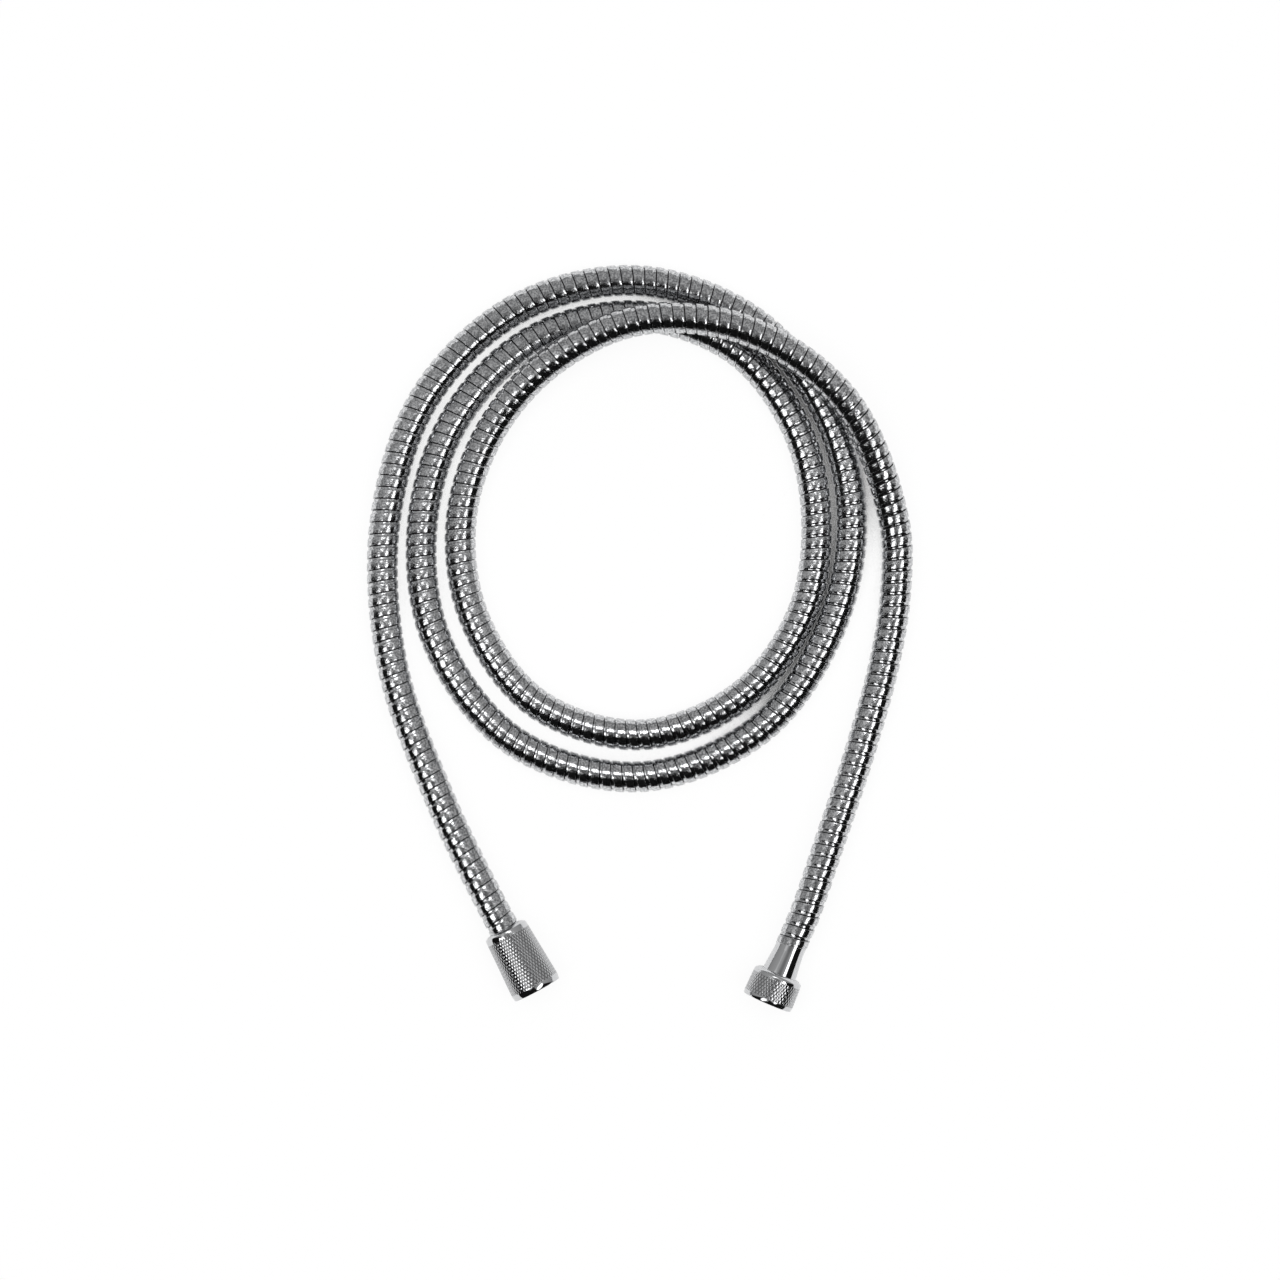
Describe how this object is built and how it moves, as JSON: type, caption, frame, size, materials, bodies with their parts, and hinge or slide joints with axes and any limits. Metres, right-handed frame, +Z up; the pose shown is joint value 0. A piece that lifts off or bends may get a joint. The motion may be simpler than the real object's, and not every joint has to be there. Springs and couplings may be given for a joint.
{
  "type": "shower hose",
  "caption": "Flexible metal shower hose lying in a loose coil, with a long conical knurled nut for the handset and a short knurled nut on a tapered sleeve for the valve.",
  "frame": {"origin": "on the surface that the hose lies on, under the middle of the bounding box", "axes": "+Z up from that surface; +Y away from the two nuts, along the longer side of the coil; +X towards the valve end"},
  "size_m": [0.2483, 0.3397, 0.0294],
  "materials": {
    "hose_steel": "polished steel strip wound as an interlocked armour, bright with fine seams",
    "nut_chrome": "chrome plate over a fine diamond knurl, with smooth polished rims",
    "sleeve_chrome": "mirror chrome plate on a turned sleeve",
    "insert_brass": "bare turned brass",
    "ring_nylon": "natural white nylon",
    "washer_rubber": "black moulded rubber",
    "tube_rubber": "matt grey extruded rubber"
  },
  "bodies": {
    "hose": {"armour": "hose_steel", "water_tube": "tube_rubber", "handset_washer": "washer_rubber", "handset_insert": "insert_brass", "handset_sleeve": "sleeve_chrome", "valve_washer": "washer_rubber", "valve_insert": "insert_brass", "valve_sleeve": "sleeve_chrome"},
    "handset_ring": {"handset_slip_ring": "ring_nylon"},
    "handset_nut": {"handset_nut": "nut_chrome"},
    "valve_ring": {"valve_slip_ring": "ring_nylon"},
    "valve_nut": {"valve_nut": "nut_chrome"}
  },
  "joints": [
    {"name": "handset_nut_slide", "type": "slide", "parent": "hose", "child": "handset_ring", "axis": [-0.4741, 0.8805, 0], "range_m": [0, 0.018]},
    {"name": "handset_nut_swivel", "type": "hinge", "parent": "handset_ring", "child": "handset_nut", "pos_m": [-0.0467, -0.1597, 0.0118], "axis": [-0.4741, 0.8805, 0], "continuous": true},
    {"name": "valve_nut_slide", "type": "slide", "parent": "hose", "child": "valve_ring", "axis": [0.3955, 0.9184, 0], "range_m": [0, 0.012]},
    {"name": "valve_nut_swivel", "type": "hinge", "parent": "valve_ring", "child": "valve_nut", "pos_m": [0.0577, -0.1653, 0.0118], "axis": [0.3955, 0.9184, 0], "continuous": true}
  ]
}
